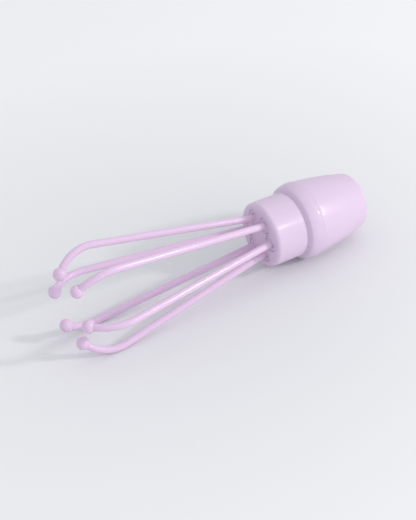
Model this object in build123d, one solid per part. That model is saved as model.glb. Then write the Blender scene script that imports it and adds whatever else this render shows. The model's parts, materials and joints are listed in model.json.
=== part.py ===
from build123d import *
from math import asin, cos, degrees, hypot, radians, sin, tan
import os

# A hand-held vibrating scalp massager: a turned handle in three rings, with six springy
# bent fingers standing out of its face and each finger ending in a ball.
#
# Every piece is drawn in the handle's own frame, in millimetres: x runs along the handle's
# axis from the finger face (x = 0) to the end of the cap, and z is up. At the end the whole
# massager is laid down as it rests: on the collar's rear edge and its two lowest fingers.

# ---- driving dimensions -------------------------------------------------------------
# Neck and finger face
NECK_R = 18.0
NECK_END = 18.8          # x of the neck's rear edge
FACE_EDGE = 2.2          # rounding between neck and finger face
FACE_WALL = 2.0
NECK_REAR_EDGE = 0.5
SHELL_BORE_R = 15.8
SPIGOT_R = 17.2          # the neck's rear spigot, inside the collar
SPIGOT_END = 20.9

# Collar
COLLAR_R = 21.4
COLLAR_FRONT = 19.0
COLLAR_FRONT_R = 17.9
COLLAR_END = 27.8
COLLAR_LIP = 0.2         # broken rear edge, the ring that the massager lies on
SHOULDER_LEN = 5.8
COLLAR_SEAT = 21.0       # x of the step that the chassis sits on
COLLAR_BORE_R = 19.4

# Cap
CAP_R = 21.0
CAP_MID_X = 45.0
CAP_MID_R = 18.9
CAP_END = 62.1
CAP_END_R = 14.9
CAP_EDGE = 4.0
CAP_INNER_EDGE = 2.5
CAP_WALL = 1.9
CAP_SPIGOT_R = 19.1
CAP_SPIGOT_BORE_R = 17.2
CAP_SPIGOT_FRONT = 25.2
CAP_ROOT_LEN = 3.0       # thickened wall behind the spigot
SEAM = 0.15              # open line between collar and cap
GROOVE_FRONT = 26.0      # the seal's groove
GROOVE_LEN = 1.1
GROOVE_R = 18.2
SEAL_R = 18.75
SEAL_WIRE_R = 0.5
KEY_HALF = 1.8           # the two keys that turn the switch
KEY_INNER_R = 17.4
KEY_OUTER_R = 18.9
KEY_ENGAGEMENT = 0.4

# Fingers
FINGERS = 6
ROOT_CIRCLE_R = 9.93     # where the rods leave the face
FLARE = 10.4             # degrees outwards from the axis
ROD_R = 1.98
CORE_R = 0.7             # the spring-steel wire inside each rod
CORE_END_COVER = 1.0
STRAIGHT = 93.3          # rod from the face to the bend
BEND_R = 22.0
BEND = 57.5              # degrees inwards
TIP_STRAIGHT = 2.5       # from the bend to the ball's centre
BALL_R = 3.5
ROOT_BALL_R = 3.4
ROOT_DEPTH = 2.6         # the root ball's centre behind the face
SOCKET_GAP = 0.12
FLEX_OUT = 15.0          # degrees
FLEX_IN = 3.0
PLUG_R = 4.4
PLUG_FLANGE_R = 4.85
PLUG_RECESS = 0.15
PLUG_END = 6.4
FACE_HOLE_R = 4.7

# Finger retainer and screws
RETAINER_X = 6.5
RETAINER_WALL = 1.8
RETAINER_SCREWS = 3
RETAINER_SCREW_LEN = 4.8
BOSS_CIRCLE_R = 13.9     # the retainer's screws
BOSS_R = 2.0
SCREW_HOLE_R = 1.1
THREAD_R = 0.83
PILOT_R = 0.85
FRAME_SCREW_Y = 13.2     # the two screws that clamp neck, collar and chassis
FRAME_SCREW_LEN = 9.0
PILLAR_R = 2.4
PILLAR_FRONT = 9.4
RIB_HALF = 1.2
NOTCH_HALF = 2.8         # the retainer's clearance round each pillar

# Chassis
CHASSIS_WALL = 1.4
CHASSIS_R = 19.2
TRAY_FRONT = 11.0
TRAY_END = 50.0
TRAY_WALL = 1.0
TRAY_RIM = 2.0           # how far the tray's sides rise past the cell's middle
SADDLE_END = 33.0
SADDLE_WALL = 1.1
STRAP_FRONT = 24.0
STRAP_LEN = 5.0
STRAP_WALL = 0.5
EAR_Y = 9.6
EAR_INNER_Y = 6.6
LEDGE_DEPTH = 1.6
STRAP_SCREW_Y = 8.3
STRAP_SCREW_HOLE_R = 0.7
LEAD_HOLE_R = 1.0
LEAD_HOLE_Y = 9.5
LEAD_HOLE_Z = 1.5
HOOK_ANGLES = (60, 180, 300)
HOOK_SPAN = 8            # degrees each side
HOOK_R = 14.8            # the hooks that keep the switch ring in place
HOOK_WALL = 0.6
HOOK_REACH = 0.8
HOOK_END = 25.6

# Cell and contacts: an AAA cell lies below the axis
CELL_Z = -6.2
CELL_R = 5.25
CELL_LENGTH = 44.5
CELL_FRONT = 11.35
CELL_NUB = 0.8
CELL_NUB_R = 1.9
CELL_FIT = 0.2
CONTACT_WALL = 0.25
CONTACT_R = 3.8
SPRING_SEAT_WALL = 0.3
SPRING_SEAT_R = 4.0
SPRING_WIRE_R = 0.3
SPRING_R = 3.2
SPRING_TURNS = 2.5
SPRING_CUP_R = 5.2
SPRING_CUP_BORE_R = 4.2
SPRING_CUP_LEN = 1.6
STRIP_HALF = 1.5

# Motor, above the axis
MOTOR_Z = 8.0
MOTOR_R = 6.0
MOTOR_WALL = 0.5
MOTOR_FRONT = 16.0
MOTOR_LENGTH = 16.0
MOTOR_FIT = 0.1
BUSH_R = 1.6
SHAFT_R = 0.75
RUNNING_GAP = 0.05
MAGNET_BORE_R = 4.35
MAGNET_FRONT = 17.6
MAGNET_LEN = 10.0
DRUM_R = 4.0
DRUM_FRONT = 18.2
DRUM_END = 27.0
COMMUTATOR_R = 1.8
COMMUTATOR_END = 29.6
END_CAP_WALL = 1.6
END_CAP_PLUG = 1.2
TERMINAL_Y = 3.2
TERMINAL_LEN = 2.2
WEIGHT_R = 4.8
WEIGHT_FRONT = 10.4
WEIGHT_LENGTH = 4.0
WEIGHT_HUB_R = 1.9

# Twist switch
ROTOR_X = 23.1
ROTOR_WALL = 1.8
ROTOR_R = 19.0
ROTOR_BORE_R = 15.0
KEYWAY_HALF = 2.1
KEYWAY_R = 17.1
WIPER_SPAN = (-110, -22)              # degrees from straight up
PAD_SPANS = ((-62, -10), (10, 62))
PAD_TABS = (-36, 36)
PAD_TAB_HALF = 4

# Leads
LEAD_R = 0.45
LEAD_BEND_R = 2.2
LEAD_Y = 3.2             # where both leads meet the motor's terminals
LEAD_TURN_X = 39.0
TERMINAL_TIP_X = 35.85

# Drawing
WELD = 0.2               # how far a joined solid reaches into its neighbour
PAST = 1.0               # how far a cutter runs past what it cuts
FAR = 80.0               # past everything

CAP_FRONT = COLLAR_END + SEAM
CHASSIS_REAR = COLLAR_SEAT + CHASSIS_WALL
STRAP_SCREW_X = STRAP_FRONT + STRAP_LEN / 2
CELL_REAR = CELL_FRONT + CELL_LENGTH
MOTOR_REAR = MOTOR_FRONT + MOTOR_LENGTH
SPRING_SEAT = CAP_END - CAP_WALL
REST_X = COLLAR_END - COLLAR_LIP
ROD_ROOT_R = ROOT_CIRCLE_R - ROOT_DEPTH * tan(radians(FLARE))
TIP_TURN = BEND - FLARE
BEND_X = -STRAIGHT * cos(radians(FLARE)) - BEND_R * sin(radians(FLARE))
BEND_CENTRE_R = ROOT_CIRCLE_R + STRAIGHT * sin(radians(FLARE)) - BEND_R * cos(radians(FLARE))
BALL_X = BEND_X - BEND_R * sin(radians(TIP_TURN)) - TIP_STRAIGHT * cos(radians(TIP_TURN))
BALL_CIRCLE_R = (BEND_CENTRE_R + BEND_R * cos(radians(TIP_TURN))
                 - TIP_STRAIGHT * sin(radians(TIP_TURN)))
LOWEST_FINGER = cos(radians(180 / FINGERS))
FROM_BASE = (Align.CENTER, Align.CENTER, Align.MIN)


# ---- helpers ------------------------------------------------------------------------
def bar(radius, start, end, y=0.0, z=0.0):
    """A round bar along x."""
    return Pos(start, y, z) * Rot(0, 90, 0) * Cylinder(radius, end - start, align=FROM_BASE)


def block(start, end, y, z):
    """A box from x = start to end, over the y and z ranges."""
    solid = Box(end - start, y[1] - y[0], z[1] - z[0], align=(Align.MIN, Align.MIN, Align.MIN))
    return Pos(start, y[0], z[0]) * solid


def ring(outer, inner, start, end, y=0.0, z=0.0):
    return bar(outer, start, end, y, z) - bar(inner, start - PAST, end + PAST, y, z)


def beside(side, inner, outer):
    """The y range from inner to outer on one side of the middle."""
    return sorted((side * inner, side * outer))


def turned(*edges):
    """A solid of revolution about the axis, from an outline of x and radius."""
    return revolve(make_face(Curve() + list(edges)), Axis.X)


def around(solid, angle):
    """Turned about the handle's axis. What is drawn straight down ends up at that angle."""
    return Rot(angle, 0, 0) * solid


def ring_sector(outer, inner, start, end, first, last):
    """Part of a flat ring, between two angles from straight up, about the axis."""
    outline = Polyline((start, inner), (start, outer), (end, outer), (end, inner), close=True)
    return Rot(90 + first, 0, 0) * revolve(make_face(outline), Axis.X, last - first)


def quarter(start, end, corner):
    """A quarter circle from start to end that bulges towards the corner of their box."""
    bulge = 1 - cos(radians(45))
    middle = tuple(c + (s - c + e - c) * bulge for s, e, c in zip(start, end, corner))
    return ThreePointArc(start, middle, end)


def finger_angles():
    """Angles from straight down. The massager lies on the fingers each side of it."""
    step = 360 / FINGERS
    return [step / 2 + step * k for k in range(FINGERS)]


def screw_angles():
    return [360 / RETAINER_SCREWS * k for k in range(RETAINER_SCREWS)]


# ---- handle shells ------------------------------------------------------------------
def head_shell():
    """The neck and its finger face, with the rear spigot and the screw bosses."""
    shell = turned(
        Line((0, 0), (0, NECK_R - FACE_EDGE)),
        quarter((0, NECK_R - FACE_EDGE), (FACE_EDGE, NECK_R), (0, NECK_R)),
        Line((FACE_EDGE, NECK_R), (NECK_END - NECK_REAR_EDGE, NECK_R)),
        quarter((NECK_END - NECK_REAR_EDGE, NECK_R), (NECK_END, NECK_R - NECK_REAR_EDGE),
                (NECK_END, NECK_R)),
        Polyline((NECK_END, NECK_R - NECK_REAR_EDGE), (NECK_END, SPIGOT_R), (SPIGOT_END, SPIGOT_R),
                 (SPIGOT_END, SHELL_BORE_R), (FACE_WALL, SHELL_BORE_R), (FACE_WALL, 0), (0, 0)),
    )
    for angle in screw_angles():
        shell += around(bar(BOSS_R, FACE_WALL - WELD, RETAINER_X, z=-BOSS_CIRCLE_R), angle)
    for side in (-1, 1):
        shell += bar(PILLAR_R, PILLAR_FRONT, SPIGOT_END, y=side * FRAME_SCREW_Y)
        rib = beside(side, FRAME_SCREW_Y, SHELL_BORE_R + 2 * WELD)
        shell += block(PILLAR_FRONT, SPIGOT_END, rib, (-RIB_HALF, RIB_HALF))
    hole_front = FACE_WALL + 0.6
    for angle in screw_angles():
        shell -= around(bar(PILOT_R, hole_front, RETAINER_X + PAST, z=-BOSS_CIRCLE_R), angle)
    for side in (-1, 1):
        shell -= bar(PILOT_R, PILLAR_FRONT + hole_front - PAST, SPIGOT_END + PAST, y=side * FRAME_SCREW_Y)
    for angle in finger_angles():
        shell -= around(bar(FACE_HOLE_R, -PAST, FACE_WALL + PAST, z=-ROOT_CIRCLE_R), angle)
    return shell


def collar_shell():
    """The widest ring, with its long rounded shoulder."""
    round_x = COLLAR_FRONT + SHOULDER_LEN
    bore = SPIGOT_R + RUNNING_GAP
    return turned(
        Line((COLLAR_FRONT, bore), (COLLAR_FRONT, COLLAR_FRONT_R)),
        EllipticalCenterArc((round_x, COLLAR_FRONT_R), SHOULDER_LEN, COLLAR_R - COLLAR_FRONT_R, 90),
        Polyline((round_x, COLLAR_R), (REST_X, COLLAR_R), (COLLAR_END, COLLAR_R - COLLAR_LIP),
                 (COLLAR_END, COLLAR_BORE_R), (COLLAR_SEAT, COLLAR_BORE_R),
                 (COLLAR_SEAT, bore), (COLLAR_FRONT, bore)),
    )


def dome(inset, edge):
    """The cap's bulging outline as a solid: its wall's outside, or with an inset its inside."""
    end = CAP_END - inset
    outline = make_face(Curve() + [
        ThreePointArc((CAP_FRONT, CAP_R - inset), (CAP_MID_X, CAP_MID_R - inset), (end, CAP_END_R - inset)),
        Polyline((end, CAP_END_R - inset), (end, 0), (CAP_FRONT, 0), (CAP_FRONT, CAP_R - inset)),
    ])
    rim = outline.vertices().sort_by(Axis.X)[-2:].sort_by(Axis.Y)[-1]
    return revolve(fillet(rim, edge), Axis.X)


def grip_cap():
    """The handle's rear shell: battery cover, grip and switch knob in one."""
    cap = dome(0, CAP_EDGE) - dome(CAP_WALL, CAP_INNER_EDGE)
    cap += ring(CAP_SPIGOT_R, CAP_SPIGOT_BORE_R, CAP_SPIGOT_FRONT, CAP_FRONT)
    cap += ring(CAP_SPIGOT_R + 1.5 * WELD, CAP_SPIGOT_BORE_R, CAP_FRONT, CAP_FRONT + CAP_ROOT_LEN)
    cap -= ring(CAP_SPIGOT_R + PAST, GROOVE_R, GROOVE_FRONT, GROOVE_FRONT + GROOVE_LEN)
    key = block(ROTOR_X + KEY_ENGAGEMENT, CAP_SPIGOT_FRONT + WELD,
                (-KEY_HALF, KEY_HALF), (KEY_INNER_R, KEY_OUTER_R))
    for side in (-1, 1):
        cap += around(key, 90 * side)
    cup = ring(SPRING_CUP_R, SPRING_CUP_BORE_R, SPRING_SEAT - SPRING_CUP_LEN, SPRING_SEAT, z=CELL_Z)
    strip_gap = block(0, FAR, (-KEY_HALF, KEY_HALF), (-CAP_R, CELL_Z))
    return cap + (cup - strip_gap)


def cap_seal():
    """The rubber ring in the groove of the cap's spigot."""
    return Pos(GROOVE_FRONT + GROOVE_LEN / 2, 0, 0) * Rot(0, 90, 0) * Torus(SEAL_R, SEAL_WIRE_R)


# ---- fingers ------------------------------------------------------------------------
def finger_path(cover=0.0):
    """A finger's centre line, drawn straight below the axis: root, straight, bend and tip."""
    run = STRAIGHT + ROOT_DEPTH / cos(radians(FLARE))
    corner = BEND_R * tan(radians(BEND / 2))
    flare = radians(FLARE)
    turn = radians(TIP_TURN)
    root = Vector(ROOT_DEPTH, 0, -ROD_ROOT_R)
    knee = root + Vector(-cos(flare), 0, -sin(flare)) * (run + corner)
    tip = knee + Vector(-cos(turn), 0, sin(turn)) * (corner + TIP_STRAIGHT - cover)
    return FilletPolyline(root, knee, tip, radius=BEND_R)


def along(path, radius):
    """A round section swept along a path."""
    return sweep(Plane(origin=path @ 0, z_dir=path % 0) * Circle(radius), path=path)


def finger_core():
    """The spring-steel wire that lets a finger bend and come back."""
    return along(finger_path(CORE_END_COVER), CORE_R)


def finger_rod(core):
    """The moulded rod over the wire, with its root ball."""
    path = finger_path()
    return along(path, ROD_R) + Pos(path @ 0) * Sphere(ROOT_BALL_R) - core


def tip_ball(rod, core):
    """The smooth ball pressed onto the rod's end."""
    return Pos(BALL_X, 0, -BALL_CIRCLE_R) * Sphere(BALL_R) - rod - core


def root_plug():
    """The disc set in the face that holds a rod's root ball, flanged behind the face."""
    plug = bar(PLUG_R, PLUG_RECESS, FACE_WALL + WELD, z=-ROOT_CIRCLE_R)
    plug += bar(PLUG_FLANGE_R, FACE_WALL + RUNNING_GAP, PLUG_END, z=-ROOT_CIRCLE_R)
    plug -= Pos(ROOT_DEPTH, 0, -ROD_ROOT_R) * Sphere(ROOT_BALL_R + SOCKET_GAP)
    half_flex = (FLEX_OUT + FLEX_IN) / 2
    lean = FLARE + (FLEX_OUT - FLEX_IN) / 2
    reach = 2 * ROOT_DEPTH
    narrow = ROD_R + SOCKET_GAP
    wide = narrow + reach * tan(radians(half_flex))
    mouth = Cone(narrow, wide, reach, align=FROM_BASE)
    return plug - Pos(ROOT_DEPTH, 0, -ROD_ROOT_R) * Rot(0, -90 - lean, 0) * mouth


def finger_retainer():
    """The plate screwed down over the backs of the root plugs."""
    plate = bar(SHELL_BORE_R - WELD, RETAINER_X, RETAINER_X + RETAINER_WALL)
    for angle in screw_angles():
        plate -= around(bar(SCREW_HOLE_R, 0, FAR, z=-BOSS_CIRCLE_R), angle)
    for side in (-1, 1):
        plate -= bar(NOTCH_HALF, 0, FAR, y=side * FRAME_SCREW_Y)
        plate -= block(0, FAR, beside(side, FRAME_SCREW_Y, NECK_R), (-NOTCH_HALF, NOTCH_HALF))
    return plate


def pan_head_screw(head_x, length):
    """A cross-slotted screw on the axis, its shank running forwards from under the head."""
    head_r = 1.6
    head = 1.1
    slot_half = 0.25
    slot_reach = 1.0
    body = bar(THREAD_R, head_x - length, head_x) + bar(head_r, head_x, head_x + head)
    slot = block(head_x + head / 2, head_x + head + PAST, (-slot_half, slot_half), (-slot_reach, slot_reach))
    return body - slot - Rot(90, 0, 0) * slot


def retainer_screws():
    seat = RETAINER_X + RETAINER_WALL
    screw = Pos(0, 0, -BOSS_CIRCLE_R) * pan_head_screw(seat, RETAINER_SCREW_LEN)
    return [around(screw, angle) for angle in screw_angles()]


def frame_screws():
    screw = pan_head_screw(CHASSIS_REAR, FRAME_SCREW_LEN)
    return [Pos(0, side * FRAME_SCREW_Y, 0) * screw for side in (-1, 1)]


# ---- chassis, cell and contacts -----------------------------------------------------
def chassis():
    """The moulded frame: a disc clamped in the collar, a cell tray and a motor saddle."""
    cell_bore = CELL_R + CELL_FIT
    tray_end_x = TRAY_FRONT + RUNNING_GAP
    saddle_bore = MOTOR_R + MOTOR_FIT
    frame = bar(CHASSIS_R, COLLAR_SEAT, CHASSIS_REAR)
    frame -= bar(saddle_bore + MOTOR_FIT, 0, FAR, z=MOTOR_Z)
    tray = ring(cell_bore + TRAY_WALL, cell_bore, TRAY_FRONT, TRAY_END, z=CELL_Z)
    tray -= block(0, FAR, (-EAR_Y, EAR_Y), (CELL_Z + TRAY_RIM, NECK_R))
    saddle = ring(saddle_bore + SADDLE_WALL, saddle_bore, MOTOR_FRONT, SADDLE_END, z=MOTOR_Z)
    saddle -= block(0, FAR, (-EAR_Y, EAR_Y), (MOTOR_Z, NECK_R))
    frame += [tray, saddle, bar(cell_bore + TRAY_WALL, TRAY_FRONT - TRAY_WALL, tray_end_x, z=CELL_Z)]
    for side in (-1, 1):
        ledge = block(STRAP_FRONT, STRAP_FRONT + STRAP_LEN, beside(side, EAR_INNER_Y, EAR_Y),
                      (MOTOR_Z - LEDGE_DEPTH, MOTOR_Z))
        strap_hole = Cylinder(STRAP_SCREW_HOLE_R, STRAP_LEN - PAST)
        lead_hole = bar(LEAD_HOLE_R, COLLAR_SEAT - PAST, CHASSIS_REAR + PAST, z=LEAD_HOLE_Z)
        frame += ledge - bar(saddle_bore, 0, FAR, z=MOTOR_Z)
        frame -= Pos(STRAP_SCREW_X, side * STRAP_SCREW_Y, MOTOR_Z) * strap_hole
        frame -= bar(SCREW_HOLE_R, 0, FAR, y=side * FRAME_SCREW_Y)
        frame -= Pos(0, side * LEAD_HOLE_Y, 0) * lead_hole
    frame -= bar(cell_bore, tray_end_x, FAR, z=CELL_Z)
    for angle in HOOK_ANGLES:
        frame += hook(angle - HOOK_SPAN, angle + HOOK_SPAN)
    return frame


def hook(first, last):
    """A springy hook behind the switch ring's inner edge."""
    arm = ring_sector(HOOK_R, HOOK_R - HOOK_WALL, CHASSIS_REAR - WELD / 2, HOOK_END, first, last)
    barb_front = ROTOR_X + ROTOR_WALL + WELD
    return arm + ring_sector(HOOK_R + HOOK_REACH, HOOK_R - HOOK_WALL / 2, barb_front, HOOK_END, first, last)


def cell_case():
    """The cell's can, with the insulating groove round its positive end."""
    can = bar(CELL_R, CELL_FRONT + CELL_NUB, CELL_REAR, z=CELL_Z)
    groove_r = 4.3
    groove_bore_r = 2.4
    groove_depth = 0.3
    return can - ring(groove_r, groove_bore_r, CELL_FRONT, CELL_FRONT + CELL_NUB + groove_depth, z=CELL_Z)


def cell_nub():
    """The cell's positive cap, on its front end."""
    return bar(CELL_NUB_R, CELL_FRONT, CELL_FRONT + CELL_NUB, z=CELL_Z)


def positive_contact():
    """The brass disc at the tray's front, with the tab that its lead is soldered to."""
    front = TRAY_FRONT + RUNNING_GAP
    rear = front + CONTACT_WALL
    tab_y = (LEAD_Y - 1.2, LEAD_Y + 1.2)
    tab_top = 1.2
    return bar(CONTACT_R, front, rear, z=CELL_Z) + block(front, rear, tab_y, (CELL_Z + tab_top, tab_top))


def cap_spring():
    """The wire spring that presses on the cell's flat end."""
    base = SPRING_SEAT - SPRING_SEAT_WALL - SPRING_WIRE_R - RUNNING_GAP
    height = base - SPRING_WIRE_R - 2 * RUNNING_GAP - CELL_REAR
    path = Helix(pitch=height / SPRING_TURNS, height=height, radius=SPRING_R, direction=(0, 0, 1))
    section = Plane(origin=path @ 0, z_dir=path % 0) * Circle(SPRING_WIRE_R)
    wire = sweep(section, path=path, is_frenet=True)
    return Pos(base, 0, CELL_Z) * Rot(0, -90, 0) * wire


def cap_contact():
    """The strip from the spring's seat along the inside of the cap to its spigot."""
    seat = bar(SPRING_SEAT_R, SPRING_SEAT - SPRING_SEAT_WALL, SPRING_SEAT, z=CELL_Z)
    skin = dome(CAP_WALL + RUNNING_GAP, CAP_INNER_EDGE - RUNNING_GAP)
    skin -= dome(CAP_WALL + RUNNING_GAP + SPRING_SEAT_WALL, CAP_INNER_EDGE - RUNNING_GAP - SPRING_SEAT_WALL)
    front = CAP_FRONT + CAP_ROOT_LEN + WELD
    top = CELL_Z - SPRING_SEAT_R + 0.5
    return seat + (skin & block(front, FAR, (-STRIP_HALF, STRIP_HALF), (-CAP_R, top)))


# ---- motor --------------------------------------------------------------------------
def motor_case():
    """The drawn steel can, open at its rear."""
    front_wall = MOTOR_WALL + 0.1
    case = bar(MOTOR_R, MOTOR_FRONT, MOTOR_REAR, z=MOTOR_Z)
    case -= bar(MOTOR_R - MOTOR_WALL, MOTOR_FRONT + front_wall, FAR, z=MOTOR_Z)
    return case - bar(BUSH_R, 0, MOTOR_FRONT + PAST, z=MOTOR_Z)


def motor_bush():
    """The sintered bearing pressed into the can's front."""
    return ring(BUSH_R, SHAFT_R + RUNNING_GAP, MOTOR_FRONT - 0.9, MOTOR_FRONT + 1.0, z=MOTOR_Z)


def motor_magnets():
    """Two curved magnets inside the can."""
    gap_half = 2.0
    tube = ring(MOTOR_R - MOTOR_WALL - RUNNING_GAP, MAGNET_BORE_R, MAGNET_FRONT, MAGNET_FRONT + MAGNET_LEN,
                z=MOTOR_Z)
    return tube - block(0, FAR, (-gap_half, gap_half), (MOTOR_Z - MOTOR_R, MOTOR_Z + MOTOR_R))


def motor_end_cap():
    """The plastic rear cap, with the shaft's rear bearing moulded in."""
    bearing_depth = 0.9
    cap = bar(MOTOR_R - MOTOR_FIT, MOTOR_REAR, MOTOR_REAR + END_CAP_WALL, z=MOTOR_Z)
    cap += bar(MOTOR_R - MOTOR_WALL - RUNNING_GAP, MOTOR_REAR - END_CAP_PLUG, MOTOR_REAR, z=MOTOR_Z)
    return cap - bar(SHAFT_R + RUNNING_GAP, MOTOR_REAR - 2 * PAST, MOTOR_REAR + bearing_depth, z=MOTOR_Z)


def motor_terminals():
    """Two brass blades on the rear cap."""
    half_wall = 0.2
    half_height = 0.9
    rear = MOTOR_REAR + END_CAP_WALL
    height = (MOTOR_Z - half_height, MOTOR_Z + half_height)
    return [block(rear, rear + TERMINAL_LEN, (y - half_wall, y + half_wall), height)
            for y in (-TERMINAL_Y, TERMINAL_Y)]


def motor_strap():
    """The steel band that holds the motor down in its saddle, with an ear each side."""
    inner = MOTOR_R + RUNNING_GAP
    end = STRAP_FRONT + STRAP_LEN
    band = ring(inner + STRAP_WALL, inner, STRAP_FRONT, end, z=MOTOR_Z)
    band &= block(0, FAR, (-EAR_Y, EAR_Y), (MOTOR_Z, NECK_R + MOTOR_Z))
    for side in (-1, 1):
        ear = block(STRAP_FRONT, end, beside(side, MOTOR_R + 0.3, EAR_Y), (MOTOR_Z, MOTOR_Z + STRAP_WALL))
        hole = Cylinder(STRAP_SCREW_HOLE_R + RUNNING_GAP, STRAP_LEN - PAST)
        band += ear - Pos(STRAP_SCREW_X, side * STRAP_SCREW_Y, MOTOR_Z) * hole
    return band


def strap_screws():
    """Two short screws through the strap's ears."""
    shank = 2.0
    screw = Cylinder(1.2, 0.7, align=FROM_BASE)
    screw += Pos(0, 0, -shank) * Cylinder(STRAP_SCREW_HOLE_R - RUNNING_GAP, shank, align=FROM_BASE)
    return [Pos(STRAP_SCREW_X, side * STRAP_SCREW_Y, MOTOR_Z + STRAP_WALL) * screw for side in (-1, 1)]


def motor_shaft():
    return bar(SHAFT_R, WEIGHT_FRONT - 0.4, MOTOR_REAR + 0.8, z=MOTOR_Z)


def motor_armature():
    """The wound core: a drum with three slots, and its commutator behind it."""
    slot_half = 0.7
    slot = block(DRUM_FRONT - PAST, DRUM_END + PAST, (-slot_half, slot_half), (COMMUTATOR_R, DRUM_R + PAST))
    drum = bar(DRUM_R, DRUM_FRONT, DRUM_END)
    for k in range(3):
        drum -= around(slot, 120 * k)
    drum += bar(COMMUTATOR_R, DRUM_END, COMMUTATOR_END)
    return Pos(0, 0, MOTOR_Z) * (drum - bar(SHAFT_R, 0, FAR))


def eccentric_weight():
    """The half-round weight that makes the vibration, stored hanging."""
    end = WEIGHT_FRONT + WEIGHT_LENGTH
    weight = bar(WEIGHT_R, WEIGHT_FRONT, end) & block(0, FAR, (-WEIGHT_R, WEIGHT_R), (-WEIGHT_R, 0))
    weight += bar(WEIGHT_HUB_R, WEIGHT_FRONT, end)
    return Pos(0, 0, MOTOR_Z) * (weight - bar(SHAFT_R, 0, FAR))


# ---- switch -------------------------------------------------------------------------
def switch_rotor():
    """The ring inside the collar that the cap's two keys turn."""
    rotor = ring(ROTOR_R, ROTOR_BORE_R, ROTOR_X, ROTOR_X + ROTOR_WALL)
    keyway = block(0, FAR, (-KEYWAY_HALF, KEYWAY_HALF), (KEYWAY_R, NECK_R + ROTOR_R))
    for side in (-1, 1):
        rotor -= around(keyway, 90 * side)
    return rotor


def switch_wiper():
    """The spring contact on the rotor. A 45 degree twist brings it over both pads."""
    return ring_sector(17.0, 15.8, ROTOR_X - CONTACT_WALL, ROTOR_X, *WIPER_SPAN)


def switch_pads():
    """Two brass pads on the chassis, each with a tab inwards for its lead."""
    rear = CHASSIS_REAR + CONTACT_WALL
    pads = []
    for span, tab in zip(PAD_SPANS, PAD_TABS):
        pad = ring_sector(17.2, 15.6, CHASSIS_REAR, rear, *span)
        pad += ring_sector(15.7, 12.2, CHASSIS_REAR, rear, tab - PAD_TAB_HALF, tab + PAD_TAB_HALF)
        pads.append(pad)
    return pads


def lead(*points):
    """An insulated lead through the points, with its corners rounded."""
    return along(FilletPolyline(*points, radius=LEAD_BEND_R), LEAD_R)


def positive_lead():
    """From the contact's tab, through the chassis and round to the motor's terminal."""
    start_z = 0.4
    return lead((CELL_FRONT, LEAD_Y, start_z), (15.5, LEAD_Y, start_z), (19.5, LEAD_HOLE_Y, LEAD_HOLE_Z),
                (LEAD_TURN_X, LEAD_HOLE_Y, LEAD_HOLE_Z), (LEAD_TURN_X, LEAD_Y, MOTOR_Z),
                (TERMINAL_TIP_X, LEAD_Y, MOTOR_Z))


def negative_lead():
    """From a switch pad's tab and round to the motor's other terminal."""
    side_y = -7.9
    top_z = 11.0
    return lead((CHASSIS_REAR + 0.3, -7.55, 10.4), (27.0, side_y, top_z), (LEAD_TURN_X, side_y, top_z),
                (LEAD_TURN_X, -LEAD_Y, MOTOR_Z), (TERMINAL_TIP_X, -LEAD_Y, MOTOR_Z))


# ---- assembly -----------------------------------------------------------------------
def rest_tilt():
    """Degrees the cap's end drops, so that collar edge and lowest fingers share a floor."""
    tilt = 0.0
    for _ in range(20):
        arc_reach = BEND_R * hypot(sin(tilt), LOWEST_FINGER * cos(tilt)) + ROD_R
        fall = (BEND_CENTRE_R * LOWEST_FINGER - COLLAR_R) * cos(tilt) + arc_reach
        tilt = asin(fall / (REST_X - BEND_X))
    return degrees(tilt)


def resting_place():
    """The move from the handle's frame to the floor, centred under the whole massager."""
    tilt = rest_tilt()
    t = radians(tilt)
    height = REST_X * sin(t) + COLLAR_R * cos(t)
    flat_r = CAP_END_R - CAP_EDGE + 0.75
    front = (CAP_END - CAP_EDGE) * cos(t) + flat_r * sin(t) + CAP_EDGE
    back = BALL_X * cos(t) - BALL_CIRCLE_R * LOWEST_FINGER * sin(t) - BALL_R
    return Pos(-(front + back) / 2, 0, height) * Rot(0, tilt, 0)


def pieces():
    """Every node by name, in the handle's frame."""
    makers = (
        head_shell, collar_shell, grip_cap, cap_seal, cap_spring, cap_contact,
        finger_retainer, retainer_screws, chassis, frame_screws, cell_case, cell_nub, positive_contact,
        motor_case, motor_bush, motor_magnets, motor_end_cap, motor_terminals, motor_strap, strap_screws,
        motor_shaft, motor_armature, eccentric_weight, switch_rotor, switch_wiper, switch_pads,
        positive_lead, negative_lead,
    )
    nodes = {make.__name__: make() for make in makers}
    core = finger_core()
    rod = finger_rod(core)
    ball = tip_ball(rod, core)
    plug = root_plug()
    for number, angle in enumerate(finger_angles(), start=1):
        nodes[f"finger_core_{number}"] = around(core, angle)
        nodes[f"finger_rod_{number}"] = around(rod, angle)
        nodes[f"tip_ball_{number}"] = around(ball, angle)
        nodes[f"root_plug_{number}"] = around(plug, angle)
    return nodes


os.makedirs("parts", exist_ok=True)
place = resting_place()
for name, shape in pieces().items():
    solids = shape if isinstance(shape, list) else shape.solids()
    placed = [place * solid for solid in solids]
    export_step(placed[0] if len(placed) == 1 else Compound(placed), f"parts/{name}.step")
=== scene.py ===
"""Looks for a vibrating scalp massager: lilac shells, springy ball-tipped fingers and what lies inside.

Shapes are drawn in the handle's own frame, in millimetres, with x along its axis from the finger face
to the end of the cap. HANDLE takes them to the frame that the CAD bodies share, in metres.
"""
import json
from math import acos, asin, atan2, cos, hypot, pi, radians, sin, sqrt, tan

import bmesh
import bpy
from mathutils import Matrix, Vector


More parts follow.
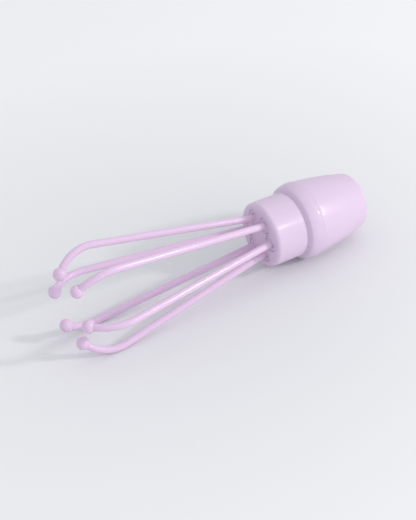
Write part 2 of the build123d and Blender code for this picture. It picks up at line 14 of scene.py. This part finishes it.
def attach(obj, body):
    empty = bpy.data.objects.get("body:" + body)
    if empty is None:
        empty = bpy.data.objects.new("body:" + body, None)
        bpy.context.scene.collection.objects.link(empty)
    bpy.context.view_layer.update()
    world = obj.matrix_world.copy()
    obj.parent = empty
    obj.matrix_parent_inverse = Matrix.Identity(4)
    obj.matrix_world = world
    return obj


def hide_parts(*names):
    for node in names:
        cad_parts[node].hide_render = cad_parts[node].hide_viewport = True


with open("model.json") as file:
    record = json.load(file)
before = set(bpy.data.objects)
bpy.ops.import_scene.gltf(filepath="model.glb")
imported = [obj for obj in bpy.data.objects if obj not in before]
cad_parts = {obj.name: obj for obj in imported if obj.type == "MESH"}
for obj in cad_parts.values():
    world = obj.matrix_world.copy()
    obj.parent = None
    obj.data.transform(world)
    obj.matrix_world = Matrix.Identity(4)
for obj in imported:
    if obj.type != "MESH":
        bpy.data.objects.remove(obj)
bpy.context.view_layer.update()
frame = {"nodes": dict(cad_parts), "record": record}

# ---- camera ---------------------------------------------------------------------------
CAMERA_TARGET = (-0.0063, -0.0017, 0.0221)
CAMERA_AZIMUTH = -29.5
CAMERA_ELEVATION = 34.8
CAMERA_ROLL = -5.15
CAMERA_DISTANCE = 0.73
CAMERA_LENS = 96.5


def make_camera():
    """The camera, placed by angle and distance from its target and rolled a little."""
    azimuth, elevation = radians(CAMERA_AZIMUTH), radians(CAMERA_ELEVATION)
    back = Vector((sin(azimuth) * cos(elevation), -cos(azimuth) * cos(elevation), sin(elevation)))
    data = bpy.data.cameras.new("camera")
    data.lens = CAMERA_LENS
    data.sensor_width = 36
    data.clip_start = 0.01
    camera = bpy.data.objects.new("camera", data)
    camera.rotation_mode = "QUATERNION"
    roll = Matrix.Rotation(radians(CAMERA_ROLL), 4, "Z").to_quaternion()
    camera.rotation_quaternion = (-back).to_track_quat("-Z", "Y") @ roll
    camera.location = Vector(CAMERA_TARGET) + back * CAMERA_DISTANCE
    bpy.context.scene.collection.objects.link(camera)
    bpy.context.scene.camera = camera


make_camera()

# ---- the handle's frame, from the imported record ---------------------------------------
CAP_END = 62.1
record = frame["record"]
handle_end = next(m for m in record["mounts"] if m["name"] == "handle_end")
AXIS = Vector(handle_end["axis"]).normalized()
SIDE = Vector((0, 1, 0))
FACE_CENTRE = Vector(handle_end["pos_m"]) - AXIS * CAP_END / 1000
HANDLE = Matrix.Translation(FACE_CENTRE) @ Matrix((AXIS, SIDE, AXIS.cross(SIDE))).transposed().to_4x4()
HANDLE = HANDLE @ Matrix.Scale(0.001, 4)

# ---- dimensions in millimetres --------------------------------------------------------
NECK_R = 18.0
NECK_END = 18.8
FACE_EDGE = 2.2
FACE_WALL = 2.0
NECK_REAR_EDGE = 0.5
SHELL_BORE_R = 15.8
SPIGOT_R = 17.2
SPIGOT_END = 20.9
COLLAR_R = 21.4
COLLAR_FRONT = 19.0
COLLAR_END = 27.8
COLLAR_SEAT = 21.0
COLLAR_BORE_R = 19.4
SPIGOT_FIT = 0.05
SHOULDER_END = 27.3       # the shoulder goes on rising, ever more slowly, almost to the seam
COVE_FRONT = 18.9         # the soft hollow between neck and shoulder
COVE_R = 17.5
CAP_FRONT = 27.95
CAP_R = 21.0
CAP_MID_X = 45.0
CAP_MID_R = 18.9
CAP_END_R = 14.9
CAP_EDGE = 4.0
CAP_WALL = 1.9
CAP_SPIGOT_R = 19.1
CAP_SPIGOT_BORE_R = 17.2
CAP_SPIGOT_FRONT = 25.2
CAP_ROOT_LEN = 3.0        # the thick wall behind the cap's spigot
CAP_LIP = 0.2
GROOVE_FRONT = 26.0       # the seal's groove
GROOVE_END = 27.1
GROOVE_R = 18.2
KEY_HALF = 1.8            # the two keys that turn the switch
KEY_FRONT = 23.5
KEY_RADII = (17.4, 18.9)
FINGERS = 6
ROOT_CIRCLE_R = 9.93
FLARE = 10.4
ROD_R = 1.98
STRAIGHT = 93.3
BEND_R = 22.0
BEND = 57.5
TIP_STRAIGHT = 2.5
BALL_R = 3.5
ROOT_BALL_R = 3.4
ROOT_DEPTH = 2.6
PLUG_R = 4.4
PLUG_FLANGE_R = 4.85
PLUG_RECESS = 0.15
PLUG_END = 6.4
PLUG_FIT = 0.06           # running gap between a root ball and its plug
FACE_HOLE_R = 4.55        # a hair wider than the plug, so that its edge reads as a fine line
FLEX_OUT = 15.0
FLEX_IN = 3.0
SLOT_REACH = 5.0          # how far a plug's flex slot is cut from the root ball's centre

AROUND = 160              # segments round a shell
ROD_AROUND = 40
PLUG_AROUND = 96
BALL_AROUND = 72
TINY = 1e-6               # a radius below this is a point on the axis


# ---- mesh helpers ---------------------------------------------------------------------
def make_piece(name, bm, body, slot, *nodes):
    """A finished mesh in handle millimetres becomes a named piece that rides on a body."""
    bmesh.ops.recalc_face_normals(bm, faces=bm.faces)
    mesh = bpy.data.meshes.new(name)
    bm.to_mesh(mesh)
    bm.free()
    mesh.transform(HANDLE)
    mesh.materials.append(MATERIALS[slot])
    mesh.shade_smooth()
    mesh.set_sharp_from_angle(angle=radians(38))
    piece = bpy.data.objects.new(name, mesh)
    bpy.context.scene.collection.objects.link(piece)
    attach(piece, body)
    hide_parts(*nodes)
    return piece


def rounded(points, steps=5):
    """An outline from (x, radius, corner radius) points, with each corner turned into an arc."""
    outline = []
    count = len(points)
    for i, (x, r, corner) in enumerate(points):
        here = Vector((x, r))
        before = Vector(points[i - 1][:2]) - here
        after = Vector(points[(i + 1) % count][:2]) - here
        if corner <= 0:
            outline.append(tuple(here))
            continue
        half = before.angle(after) / 2
        centre = here + (before.normalized() + after.normalized()).normalized() * corner / sin(half)
        start = here + before.normalized() * corner / tan(half) - centre
        end = here + after.normalized() * corner / tan(half) - centre
        first = atan2(start.y, start.x)
        turn = (atan2(end.y, end.x) - first + pi) % (2 * pi) - pi
        for k in range(steps + 1):
            angle = first + turn * k / steps
            outline.append((centre.x + corner * cos(angle), centre.y + corner * sin(angle)))
    return outline


def braced(outline, margin=0.2):
    """The outline with a point just inside each end of its long straights, which keeps them shaded flat."""
    points = []
    for start, end in zip(outline, outline[1:] + outline[:1]):
        points.append(start)
        run = Vector(end) - Vector(start)
        if run.length > 5 * margin and (start[1] > 0 or end[1] > 0):
            points.append(tuple(Vector(start) + run.normalized() * margin))
            points.append(tuple(Vector(end) - run.normalized() * margin))
    return points


def lathe(outline, around=AROUND):
    """A closed outline of (x, radius) turned about the x axis. Points on the axis share one vertex."""
    bm = bmesh.new()
    outline = braced(outline)
    rings = []
    for x, r in outline:
        if r < TINY:
            rings.append([bm.verts.new((x, 0, 0))] * around)
        else:
            angles = [2 * pi * k / around for k in range(around)]
            rings.append([bm.verts.new((x, r * cos(a), r * sin(a))) for a in angles])
    for i, ring in enumerate(rings):
        following = rings[(i + 1) % len(rings)]
        if ring[0] is ring[1] and following[0] is following[1]:
            continue
        for k in range(around):
            n = (k + 1) % around
            corners = []
            for vertex in (ring[k], ring[n], following[n], following[k]):
                if vertex not in corners:
                    corners.append(vertex)
            bm.faces.new(corners)
    return bm


def boolean(bm, cutters, operation="DIFFERENCE"):
    """The mesh with each cutter taken off or joined on, by the exact solver."""
    target = object_of("target", bm)
    for cutter_bm in cutters:
        cutter = object_of("cutter", cutter_bm)
        modifier = target.modifiers.new("cut", "BOOLEAN")
        modifier.operation = operation
        modifier.solver = "EXACT"
        modifier.object = cutter
        result = target.evaluated_get(bpy.context.evaluated_depsgraph_get())
        made = bpy.data.meshes.new_from_object(result)
        target.modifiers.clear()
        target.data = made
        bpy.data.objects.remove(cutter)
    joined = bmesh.new()
    joined.from_mesh(target.data)
    bpy.data.objects.remove(target)
    bmesh.ops.remove_doubles(joined, verts=joined.verts, dist=1e-4)
    return joined


def object_of(name, bm):
    """A mesh as a linked object, in the units it was drawn in."""
    mesh = bpy.data.meshes.new(name)
    bmesh.ops.recalc_face_normals(bm, faces=bm.faces)
    bm.to_mesh(mesh)
    bm.free()
    thing = bpy.data.objects.new(name, mesh)
    bpy.context.scene.collection.objects.link(thing)
    return thing


def finger_turn(number):
    """The turn about the handle's axis that takes a finger drawn straight down to its place."""
    angle = 180 / FINGERS + 360 / FINGERS * (number - 1)
    return Matrix.Rotation(radians(angle), 4, "X")


def box_mesh(x, y, z):
    """A box over the x, y and z ranges."""
    bm = bmesh.new()
    bmesh.ops.create_cube(bm, size=1)
    middle = [(low + high) / 2 for low, high in (x, y, z)]
    size = [high - low for low, high in (x, y, z)]
    bm.transform(Matrix.Translation(middle) @ Matrix.Diagonal((*size, 1)))
    return bm


# ---- materials ------------------------------------------------------------------------
class Surface:
    """A node material with a principled shader and short calls to feed it."""

    def __init__(self, name, **constants):
        self.material = bpy.data.materials.new(name)
        self.material.use_nodes = True
        self.tree = self.material.node_tree
        self.shader = self.tree.nodes["Principled BSDF"]
        self.place = self.tree.nodes.new("ShaderNodeTexCoord").outputs["Object"]
        for socket, value in constants.items():
            self.shader.inputs[socket.replace("_", " ")].default_value = value

    def noise(self, scale, detail=3.0, roughness=0.55, stretch=None):
        """Soft noise in the object's own space, stretched along its axes if asked."""
        node = self.tree.nodes.new("ShaderNodeTexNoise")
        node.inputs["Scale"].default_value = scale
        node.inputs["Detail"].default_value = detail
        node.inputs["Roughness"].default_value = roughness
        place = self.place
        if stretch:
            mapping = self.tree.nodes.new("ShaderNodeMapping")
            mapping.inputs["Scale"].default_value = stretch
            self.tree.links.new(place, mapping.inputs["Vector"])
            place = mapping.outputs["Vector"]
        self.tree.links.new(place, node.inputs["Vector"])
        return node.outputs["Fac"]

    def numbers(self, noise, low, high):
        """Spreads the range that noise mostly keeps to, 0.3 to 0.7, over the numbers low to high."""
        node = self.tree.nodes.new("ShaderNodeMapRange")
        node.inputs["From Min"].default_value = 0.3
        node.inputs["From Max"].default_value = 0.7
        node.inputs["To Min"].default_value = low
        node.inputs["To Max"].default_value = high
        self.tree.links.new(noise, node.inputs["Value"])
        return node.outputs["Result"]

    def colors(self, value, start, end, pair):
        """Blends a pair of colours while a value goes from start to end."""
        node = self.tree.nodes.new("ShaderNodeValToRGB")
        node.color_ramp.elements[0].position = start
        node.color_ramp.elements[1].position = end
        for element, color in zip(node.color_ramp.elements, pair):
            element.color = (*color, 1)
        self.tree.links.new(value, node.inputs["Fac"])
        return node.outputs["Color"]

    def feed(self, socket, value):
        """Links a value to one of the shader's inputs."""
        self.tree.links.new(value, self.shader.inputs[socket])

    def bump(self, *layers):
        """Stacks (value, height in metres) layers of relief."""
        normal = None
        for value, height in layers:
            node = self.tree.nodes.new("ShaderNodeBump")
            node.inputs["Distance"].default_value = height
            self.tree.links.new(value, node.inputs["Height"])
            if normal:
                self.tree.links.new(normal, node.inputs["Normal"])
            normal = node.outputs["Normal"]
        self.feed("Normal", normal)


def moulded_plastic(name, color, rough, gloss, polish, translucency):
    """Moulded plastic: faintly uneven colour and polish, a slow moulding ripple and fine grain."""
    surface = Surface(name, IOR=1.49, Subsurface_Weight=translucency, Subsurface_Scale=0.0012,
                      Specular_IOR_Level=gloss, Coat_Weight=polish, Coat_Roughness=0.1)
    surface.shader.inputs["Subsurface Radius"].default_value = (1.0, 0.75, 1.1)
    darker = [c * 0.985 for c in color]
    lighter = [c * 1.01 for c in color]
    surface.feed("Base Color", surface.colors(surface.noise(30, 3), 0.35, 0.65, (darker, lighter)))
    surface.feed("Roughness", surface.numbers(surface.noise(90, 3, 0.5), rough * 0.9, rough * 1.15))
    ripple_height = 0.00001
    grain_height = 0.0000012
    surface.bump((surface.noise(60, 1), ripple_height), (surface.noise(2600, 2), grain_height))
    return surface.material


def metal(name, color, rough, stretch=(1, 1, 1), grain=900):
    """Metal with drawn or tumbled grain and darker, duller patches."""
    surface = Surface(name, Metallic=1.0)
    darker = [c * 0.82 for c in color]
    grain_noise = surface.noise(grain, 5, 0.65, stretch)
    surface.feed("Base Color", surface.colors(surface.noise(180, 4), 0.3, 0.7, (darker, color)))
    surface.feed("Roughness", surface.numbers(grain_noise, rough * 0.7, rough * 1.4))
    surface.bump((grain_noise, 0.000008))
    return surface.material


def dull(name, color, rough, grain=1500, height=0.00001, depth=0.12):
    """Matt moulded or sintered stuff with visible grain."""
    surface = Surface(name)
    darker = [c * (1 - depth) for c in color]
    surface.feed("Base Color", surface.colors(surface.noise(220, 5), 0.3, 0.7, (darker, color)))
    surface.feed("Roughness", surface.numbers(surface.noise(500, 4), rough * 0.85, min(1, rough * 1.15)))
    surface.bump((surface.noise(grain, 4), height))
    return surface.material


LILAC = (0.685, 0.552, 0.712)
MATERIALS = {
    "lilac_shell": moulded_plastic("lilac_shell", LILAC,
                                   rough=0.34, gloss=0.10, polish=0.06, translucency=0.12),
    "lilac_rod": moulded_plastic("lilac_rod", (0.72, 0.545, 0.73),
                                 rough=0.34, gloss=0.12, polish=0.14, translucency=0.15),
    "lilac_plug": moulded_plastic("lilac_plug", (0.68, 0.53, 0.715),
                                  rough=0.3, gloss=0.2, polish=0.06, translucency=0.12),
    "inner_plastic": dull("inner_plastic", (0.72, 0.70, 0.74), rough=0.5),
    "steel": metal("steel", (0.60, 0.60, 0.62), rough=0.28, stretch=(1, 8, 8)),
    "spring_steel": metal("spring_steel", (0.68, 0.67, 0.64), rough=0.2),
    "contact_brass": metal("contact_brass", (0.78, 0.60, 0.28), rough=0.3, stretch=(1, 6, 1)),
    "weight_metal": metal("weight_metal", (0.42, 0.40, 0.37), rough=0.5, grain=2500),
    "magnet": dull("magnet", (0.045, 0.045, 0.05), rough=0.55, grain=2500, height=0.00002),
    "armature": metal("armature", (0.60, 0.26, 0.12), rough=0.35, stretch=(40, 1, 1), grain=400),
    "motor_plastic": dull("motor_plastic", (0.78, 0.77, 0.72), rough=0.45),
    "cell_jacket": metal("cell_jacket", (0.055, 0.06, 0.075), rough=0.32),
    "seal_rubber": dull("seal_rubber", (0.07, 0.06, 0.08), rough=0.6),
    "lead_red": dull("lead_red", (0.50, 0.03, 0.03), rough=0.4),
    "lead_black": dull("lead_black", (0.02, 0.02, 0.022), rough=0.4),
}


def dress_cad_nodes():
    """Each CAD node keeps its shape and takes its slot's material."""
    slots = {part["node"]: part["material_slot"] for part in record["subparts"]}
    for name, node in frame["nodes"].items():
        node.data.materials.clear()
        node.data.materials.append(MATERIALS[slots[name]])
        for face in node.data.polygons:
            face.material_index = 0


dress_cad_nodes()


# ---- handle shells --------------------------------------------------------------------
def face_hole():
    """The cutter for one finger hole, flared where it meets the face so that the edge is round."""
    edge = 0.2
    past = 1.0
    outline = [(-past, 0), (-past, FACE_HOLE_R + edge)]
    for k in range(5):
        angle = pi / 8 * k
        outline.append((edge - edge * cos(angle), FACE_HOLE_R + edge * (1 - sin(angle))))
    outline += [(FACE_WALL + past, FACE_HOLE_R), (FACE_WALL + past, 0)]
    return lathe(outline, PLUG_AROUND)


def make_neck():
    """The neck and its finger face, with a hole for each finger."""
    body = lathe(rounded([
        (0, 0, 0), (0, NECK_R, FACE_EDGE), (NECK_END, NECK_R, NECK_REAR_EDGE), (NECK_END, SPIGOT_R, 0),
        (SPIGOT_END, SPIGOT_R, 0.2), (SPIGOT_END, SHELL_BORE_R, 0.2), (FACE_WALL, SHELL_BORE_R, 0),
        (FACE_WALL, 0, 0),
    ], 8))
    cutters = []
    for number in range(1, FINGERS + 1):
        hole = face_hole()
        hole.transform(finger_turn(number) @ Matrix.Translation((0, 0, -ROOT_CIRCLE_R)))
        cutters.append(hole)
    make_piece("neck", boolean(body, cutters), "handle", "lilac_shell", "head_shell")


def bezier(start, first, second, end, steps):
    """Points along a cubic curve, without its last one."""
    points = []
    for k in range(steps):
        t = k / steps
        weights = ((1 - t) ** 3, 3 * t * (1 - t) ** 2, 3 * t * t * (1 - t), t ** 3)
        controls = (start, first, second, end)
        points.append(tuple(sum(w * p[i] for w, p in zip(weights, controls)) for i in (0, 1)))
    return points


def shoulder_outline():
    """From the soft hollow behind the neck up the long rounded shoulder, almost to the seam."""
    length = SHOULDER_END - COLLAR_FRONT
    rise = COLLAR_R - NECK_R
    steps = 24
    first = 0.72              # radians round the shoulder's ellipse at which the hollow meets it
    front_pull = 0.9          # how far the hollow's curve keeps its direction at each end
    back_pull = 1.1
    angles = [first + (pi / 2 - first) * k / steps for k in range(steps + 1)]
    arc = [(COLLAR_FRONT + length * (1 - cos(a)), NECK_R + rise * sin(a)) for a in angles]
    start = (COVE_FRONT, COVE_R)
    slope = Vector((length * sin(first), rise * cos(first))).normalized() * back_pull
    below = (arc[0][0] - slope.x, arc[0][1] - slope.y)
    return bezier(start, (COVE_FRONT + front_pull, COVE_R), below, arc[0], 10) + arc


def make_collar():
    """The widest ring. Its rear lip is rounded enough to catch the light along the seam."""
    shoulder = shoulder_outline()
    bore = SPIGOT_R + SPIGOT_FIT
    rear = rounded([(SHOULDER_END, COLLAR_R, 0), (COLLAR_END, COLLAR_R, 0.4),
                    (COLLAR_END, COLLAR_BORE_R, 0.2), (COLLAR_SEAT, COLLAR_BORE_R, 0),
                    (COLLAR_SEAT, bore, 0), (COVE_FRONT, bore, 0)])
    make_piece("collar", lathe(rear + shoulder[:-1]), "handle", "lilac_shell", "collar_shell")


def circle_through(a, b, c):
    """The centre and radius of the circle through three points."""
    (ax, ay), (bx, by), (cx, cy) = a, b, c
    a2, b2, c2 = (x * x + y * y for x, y in (a, b, c))
    d = 2 * (ax * (by - cy) + bx * (cy - ay) + cx * (ay - by))
    ux = (a2 * (by - cy) + b2 * (cy - ay) + c2 * (ay - by)) / d
    uy = (a2 * (cx - bx) + b2 * (ax - cx) + c2 * (bx - ax)) / d
    return (ux, uy), hypot(ax - ux, ay - uy)


def dome_outline(inset, edge, steps=28):
    """The cap's flank and rounded end, from the seam to the axis."""
    edge_steps = 10
    end = CAP_END - inset
    (cx, cy), radius = circle_through((CAP_FRONT, CAP_R - inset), (CAP_MID_X, CAP_MID_R - inset),
                                      (end, CAP_END_R - inset))
    edge_x = end - edge
    edge_r = cy + sqrt((radius - edge) ** 2 - (edge_x - cx) ** 2)
    first = atan2(CAP_R - inset - cy, CAP_FRONT - cx)
    last = atan2(edge_r - cy, edge_x - cx)
    points = [(cx + radius * cos(a), cy + radius * sin(a))
              for a in (first + (last - first) * k / steps for k in range(steps + 1))]
    points += [(edge_x + edge * cos(a), edge_r + edge * sin(a))
               for a in (last * (1 - k / edge_steps) for k in range(1, edge_steps + 1))]
    return points + [(end, edge_r * 0.5), (end, 0)]


def cap_spigot_outline():
    """The cap's spigot from its thick root, forwards inside, back outside and across the seal's groove."""
    chamfer = 0.25
    return [(CAP_FRONT + CAP_ROOT_LEN, CAP_SPIGOT_BORE_R), (CAP_SPIGOT_FRONT + 0.2, CAP_SPIGOT_BORE_R),
            (CAP_SPIGOT_FRONT, CAP_SPIGOT_BORE_R + 0.2), (CAP_SPIGOT_FRONT, CAP_SPIGOT_R - chamfer),
            (CAP_SPIGOT_FRONT + chamfer, CAP_SPIGOT_R), (GROOVE_FRONT, CAP_SPIGOT_R),
            (GROOVE_FRONT, GROOVE_R), (GROOVE_END, GROOVE_R), (GROOVE_END, CAP_SPIGOT_R)]


def make_cap():
    """The handle's rear shell, hollow, with its spigot and two keys."""
    outside = dome_outline(0, CAP_EDGE)
    inside = dome_outline(CAP_WALL, CAP_EDGE - CAP_WALL + 0.4)
    front = [(CAP_FRONT, CAP_SPIGOT_R + SPIGOT_FIT), (CAP_FRONT, CAP_R - CAP_LIP),
             (CAP_FRONT + CAP_LIP * 0.3, CAP_R - CAP_LIP * 0.3)]
    shell_inside = [point for point in reversed(inside) if point[0] > CAP_FRONT + CAP_ROOT_LEN]
    body = lathe(front + outside[1:] + shell_inside + cap_spigot_outline())
    keys = []
    for side in (-1, 1):
        key = box_mesh((KEY_FRONT, CAP_SPIGOT_FRONT + 0.5), (-KEY_HALF, KEY_HALF), KEY_RADII)
        bmesh.ops.bevel(key, geom=key.edges[:], offset=0.25, segments=2, affect="EDGES")
        key.transform(Matrix.Rotation(side * pi / 2, 4, "X"))
        keys.append(key)
    make_piece("cap", boolean(body, keys, "UNION"), "cap", "lilac_shell", "grip_cap")


# ---- fingers --------------------------------------------------------------------------
def centreline():
    """Points, directions and distances along a rod drawn straight below the axis, from root to ball."""
    flare = radians(FLARE)
    root = Vector((ROOT_DEPTH, 0, -(ROOT_CIRCLE_R - ROOT_DEPTH * tan(flare))))
    out = Vector((-cos(flare), 0, -sin(flare)))
    run = STRAIGHT + ROOT_DEPTH / cos(flare)
    rows = [(root + out * s, out, s) for s in (-ROOT_BALL_R, 0.0, run)]
    inward = Vector((-sin(flare), 0, cos(flare)))
    centre = root + out * run + inward * BEND_R
    steps = 28
    for k in range(1, steps + 1):
        turn = radians(BEND) * k / steps
        arm = -inward * cos(turn) + out * sin(turn)
        heading = out * cos(turn) + inward * sin(turn)
        rows.append((centre + arm * BEND_R, heading, run + BEND_R * turn))
    point, heading, distance = rows[-1]
    rows.append((point + heading * TIP_STRAIGHT, heading, distance + TIP_STRAIGHT))
    return rows


def tube(stations, around=ROD_AROUND):
    """A closed tube through (point, direction, radius) stations in the plane y = 0."""
    bm = bmesh.new()
    rings = []
    for point, heading, radius in stations:
        across = heading.cross(SIDE)
        if radius < TINY:
            rings.append([bm.verts.new(point)] * around)
            continue
        ring = []
        for k in range(around):
            angle = 2 * pi * k / around
            offset = across * radius * cos(angle) + SIDE * (radius * sin(angle))
            ring.append(bm.verts.new(point + offset))
        rings.append(ring)
    for ring, following in zip(rings, rings[1:]):
        for k in range(around):
            n = (k + 1) % around
            corners = []
            for vertex in (ring[k], ring[n], following[n], following[k]):
                if vertex not in corners:
                    corners.append(vertex)
            bm.faces.new(corners)
    return bm


def rod_stations():
    """The root ball running into the rod, the straight in short lengths, the bend, and a rounded end."""
    line = centreline()
    root, out, _ = line[1]
    neck_at = sqrt(ROOT_BALL_R ** 2 - ROD_R ** 2)
    widest = acos(neck_at / ROOT_BALL_R)
    ball_steps = 12
    stations = []
    for k in range(ball_steps + 1):
        angle = pi - (pi - widest) * k / ball_steps
        along = ROOT_BALL_R * cos(angle)
        stations.append((root + out * along, out, ROOT_BALL_R * sin(angle) if k else 0.0))
    run = line[2][2]
    lengths = 24
    for k in range(1, lengths + 1):
        stations.append((root + out * (neck_at + (run - neck_at) * k / lengths), out, ROD_R))
    stations += [(point, heading, ROD_R) for point, heading, _ in line[3:]]
    point, heading, _ = line[-1]
    end_length = 0.6
    end_steps = 4
    for k in range(1, end_steps + 1):
        angle = pi / 2 * k / end_steps
        radius = ROD_R * cos(angle) if k < end_steps else 0.0
        stations.append((point + heading * end_length * sin(angle), heading, radius))
    return stations


def ball_mesh():
    """A bead with a blind hole that the rod's end fills, its lip turned in where the rod enters."""
    lip = 0.22
    hole_r = ROD_R + 0.03
    hole_end = 0.7
    mouth = asin((hole_r + lip) / BALL_R)
    steps = 26
    outline = []
    for k in range(steps + 1):
        angle = (pi - mouth) * k / steps
        outline.append((BALL_R * cos(angle), BALL_R * sin(angle) if k else 0.0))
    mouth_x = outline[-1][0]
    outline += [(mouth_x - lip * 0.15, hole_r + lip * 0.45), (mouth_x + lip * 0.1, hole_r + lip * 0.1),
                (mouth_x + lip, hole_r), (hole_end, hole_r), (hole_end, 0.0)]
    return lathe(outline, BALL_AROUND)


def flex_slot(radius, reach):
    """What a rod sweeps as it flexes about its root ball, drawn with the ball's centre at the origin."""
    bm = bmesh.new()
    steps = 6
    around = 48
    for k in range(steps + 1):
        lean = radians(FLARE - FLEX_IN + (FLEX_IN + FLEX_OUT) * k / steps)
        for along in (0.0, reach):
            centre = Vector((-cos(lean), 0, -sin(lean))) * along
            across = Vector((-sin(lean), 0, cos(lean)))
            for n in range(around):
                angle = 2 * pi * n / around
                bm.verts.new(centre + across * radius * cos(angle) + SIDE * (radius * sin(angle)))
    bmesh.ops.convex_hull(bm, input=bm.verts)
    bmesh.ops.delete(bm, geom=[v for v in bm.verts if not v.link_faces], context="VERTS")
    return bm


def plug_mesh():
    """The disc a rod stands in, drawn on the axis: dished front, rim, rear flange and the rod's socket."""
    dish = 0.35
    dish_steps = 7
    front = []
    for k in range(dish_steps + 1):
        share = k / dish_steps
        front.append((PLUG_RECESS + dish * (1 - share ** 2), (PLUG_R - 0.55) * share))
    rim = rounded([(PLUG_RECESS + 0.1, PLUG_R - 0.6, 0), (PLUG_RECESS, PLUG_R, 0.3),
                   (FACE_WALL + 0.05, PLUG_R, 0), (FACE_WALL + 0.05, PLUG_FLANGE_R, 0.1),
                   (PLUG_END, PLUG_FLANGE_R, 0.3), (PLUG_END, 0, 0)])
    body = lathe(front + rim[1:], PLUG_AROUND)
    ball_offset = ROOT_DEPTH * tan(radians(FLARE))
    socket_r = ROOT_BALL_R + PLUG_FIT
    steps = 32
    arc = [(socket_r * cos(a), socket_r * sin(a)) for a in (pi * k / steps for k in range(1, steps))]
    socket = lathe([(socket_r, 0)] + arc + [(-socket_r, 0)], PLUG_AROUND)
    socket.transform(Matrix.Translation((ROOT_DEPTH, 0, ball_offset)))
    slot = flex_slot(ROD_R + PLUG_FIT, SLOT_REACH)
    slot.transform(Matrix.Translation((ROOT_DEPTH, 0, ball_offset)))
    return boolean(body, [socket, slot])


def make_fingers():
    """Six times a rod and its ball, which flex together, and the plug that stays in the face."""
    tip, heading, _ = centreline()[-1]
    ball_place = Matrix.Translation(tip) @ heading.to_track_quat("X", "Z").to_matrix().to_4x4()
    plug_place = Matrix.Translation((0, 0, -ROOT_CIRCLE_R))
    for number in range(1, FINGERS + 1):
        turn = finger_turn(number)
        body = f"finger_{number}"
        rod = tube(rod_stations())
        rod.transform(turn)
        make_piece(f"{body}_rod", rod, body, "lilac_rod", f"finger_rod_{number}")
        ball = ball_mesh()
        ball.transform(turn @ ball_place)
        make_piece(f"{body}_ball", ball, body, "lilac_rod", f"tip_ball_{number}")
        plug = plug_mesh()
        plug.transform(turn @ plug_place)
        make_piece(f"{body}_plug", plug, "handle", "lilac_plug", f"root_plug_{number}")


make_neck()
make_collar()
make_cap()
make_fingers()


# ---- floor and light ------------------------------------------------------------------
def make_floor():
    """A sheet of pale paper with painted shade: its colour is darker near the massager and brighter away
    from it.
    """
    surface = Surface("paper", Specular_IOR_Level=0.1)
    painted_shade_distance = surface.tree.nodes.new("ShaderNodeVectorMath")
    painted_shade_distance.operation = "LENGTH"
    surface.tree.links.new(surface.place, painted_shade_distance.inputs[0])
    # painted shade: the paper's colour is darker close to the massager and grows paler with distance from
    # it
    middle, edge = (0.775, 0.783, 0.80), (0.92, 0.915, 0.93)
    surface.feed("Base Color", surface.colors(painted_shade_distance.outputs["Value"], 0.05, 0.30, (middle, edge)))
    surface.feed("Roughness", surface.numbers(surface.noise(900, 3), 0.75, 0.9))
    surface.bump((surface.noise(1800, 4), 0.00002))
    bm = bmesh.new()
    bmesh.ops.create_grid(bm, x_segments=8, y_segments=8, size=3.0)
    floor = object_of("floor", bm)
    floor.data.materials.append(surface.material)


NECK_GLINT = (0.032, -0.0145, 0.0329)     # on the neck, just behind its front edge


def area_light(name, toward, aim, distance, size, watts, color):
    """A light that shines at the aim from the direction given, its width along the handle."""
    data = bpy.data.lights.new(name, "AREA")
    data.shape = "RECTANGLE"
    data.size, data.size_y = size
    data.energy = watts
    data.color = color
    light = bpy.data.objects.new(name, data)
    back = Vector(toward).normalized()
    across = (AXIS - back * AXIS.dot(back)).normalized()
    light.matrix_world = Matrix.Translation(Vector(aim) + back * distance) @ Matrix(
        (across, back.cross(across), back)).transposed().to_4x4()
    bpy.context.scene.collection.objects.link(light)
    return light


def from_angles(azimuth, elevation):
    """A direction, with azimuth 0 towards the front (-Y) and 90 towards +X."""
    a, e = radians(azimuth), radians(elevation)
    return (sin(a) * cos(e), -cos(a) * cos(e), sin(e))


def make_light():
    """Even daylight with one low key and a soft fill, and two lights that are seen only as reflections."""
    world = bpy.data.worlds.new("studio")
    world.use_nodes = True
    background = world.node_tree.nodes["Background"]
    background.inputs["Color"].default_value = (0.955, 0.968, 1.0, 1)
    background.inputs["Strength"].default_value = 0.83
    bpy.context.scene.world = world
    warm = (1.0, 0.985, 0.95)
    paler = (1.0, 0.985, 0.98)
    key = area_light("key", from_angles(azimuth=45.8, elevation=25.2), CAMERA_TARGET,
                     distance=1.8, size=(0.14, 0.14), watts=9.5, color=warm)
    fill = area_light("fill", from_angles(azimuth=30, elevation=20), CAMERA_TARGET,
                      distance=1.6, size=(1.2, 1.2), watts=5.0, color=paler)
    for light in (key, fill):
        light.visible_glossy = False
    strip = area_light("strip", (0.66, -0.60, 0.45), CAMERA_TARGET,
                       distance=1.2, size=(0.09, 0.5), watts=10.0, color=warm)
    glint = area_light("glint", (0.478, -0.705, 0.51), NECK_GLINT,
                       distance=0.6, size=(0.014, 0.09), watts=0.8, color=warm)
    for light in (strip, glint):
        light.visible_diffuse = False
    bpy.context.scene.view_settings.view_transform = "Standard"


make_floor()
make_light()
